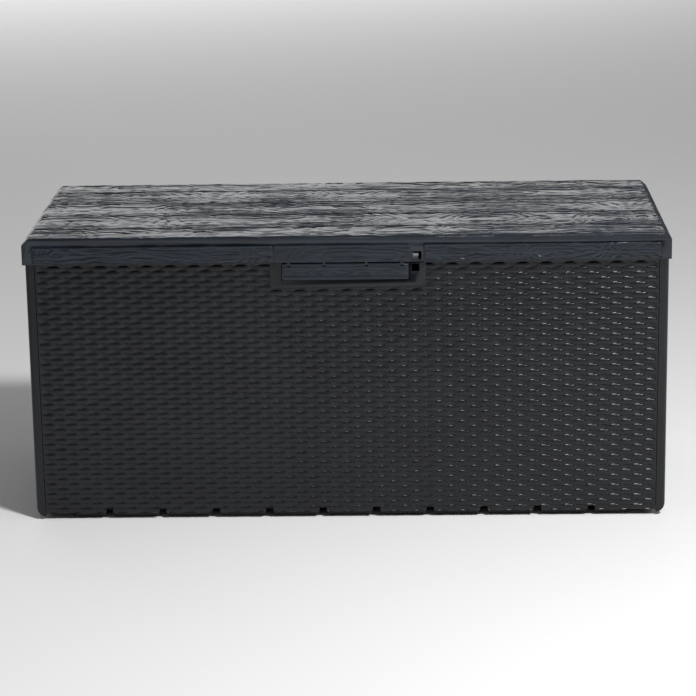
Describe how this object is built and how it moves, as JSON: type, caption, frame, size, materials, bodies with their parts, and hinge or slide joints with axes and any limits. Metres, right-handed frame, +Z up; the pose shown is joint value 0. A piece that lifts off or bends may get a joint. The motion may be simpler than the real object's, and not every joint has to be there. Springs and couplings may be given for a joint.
{
  "type": "deck storage box",
  "caption": "Long outdoor storage box with woven-look walls, a planked rear-hinged lid, a pull flap on its front edge, padlock holes and slotted lid stays.",
  "frame": {"origin": "on the ground under the middle of the box, which is the centre of its lid's outline", "axes": "+X to the right along the length, front face towards -Y, +Z up"},
  "size_m": [1.18, 0.506, 0.541],
  "materials": {
    "wall_plastic": "moulded anthracite polypropylene, woven look outside",
    "floor_plastic": "plain moulded polypropylene",
    "lid_plastic": "moulded slate-grey polypropylene, wood grain outside",
    "hardware_plastic": "black glass-filled polyamide",
    "zinc_steel": "bright zinc-plated steel"
  },
  "bodies": {
    "box": {"base_panel": "floor_plastic", "front_panel": "wall_plastic", "back_panel": "wall_plastic", "left_side_panel": "wall_plastic", "right_side_panel": "wall_plastic", "front_corner_screws": "zinc_steel", "back_corner_screws": "zinc_steel", "floor_screws": "zinc_steel", "left_hinge_rod": "zinc_steel", "right_hinge_rod": "zinc_steel", "left_stay_pin": "hardware_plastic", "right_stay_pin": "hardware_plastic", "lock_saddle": "zinc_steel"},
    "lid": {"lid_shell": "lid_plastic", "front_lid_tube": "zinc_steel", "rear_lid_tube": "zinc_steel", "tube_clips": "hardware_plastic", "left_stay_bracket": "hardware_plastic", "right_stay_bracket": "hardware_plastic", "stay_bracket_screws": "zinc_steel", "left_stay_pivot": "zinc_steel", "right_stay_pivot": "zinc_steel", "flap_wire": "zinc_steel"},
    "flap": {"pull_flap": "lid_plastic"},
    "stay_left": {"left_stay": "hardware_plastic"},
    "stay_right": {"right_stay": "hardware_plastic"}
  },
  "joints": [
    {"name": "lid_hinge", "type": "hinge", "parent": "box", "child": "lid", "pos_m": [0, 0.244, 0.5], "axis": [-1, 0, 0], "range_deg": [0, 100]},
    {"name": "flap_hinge", "type": "hinge", "parent": "lid", "child": "flap", "pos_m": [-0.0015, -0.2486, 0.4869], "axis": [-1, 0, 0], "range_deg": [0, 75]},
    {"name": "left_stay_turn", "type": "hinge", "parent": "lid", "child": "stay_left", "pos_m": [-0.558, 0.07923, 0.50864], "axis": [-1, 0, 0], "range_deg": [-50, 0]},
    {"name": "right_stay_turn", "type": "hinge", "parent": "lid", "child": "stay_right", "pos_m": [0.558, 0.07923, 0.50864], "axis": [-1, 0, 0], "range_deg": [-50, 0]}
  ],
  "couplings": [
    {"joint": "left_stay_turn", "follows": "lid_hinge", "ratio": -0.5},
    {"joint": "right_stay_turn", "follows": "lid_hinge", "ratio": -0.5}
  ]
}
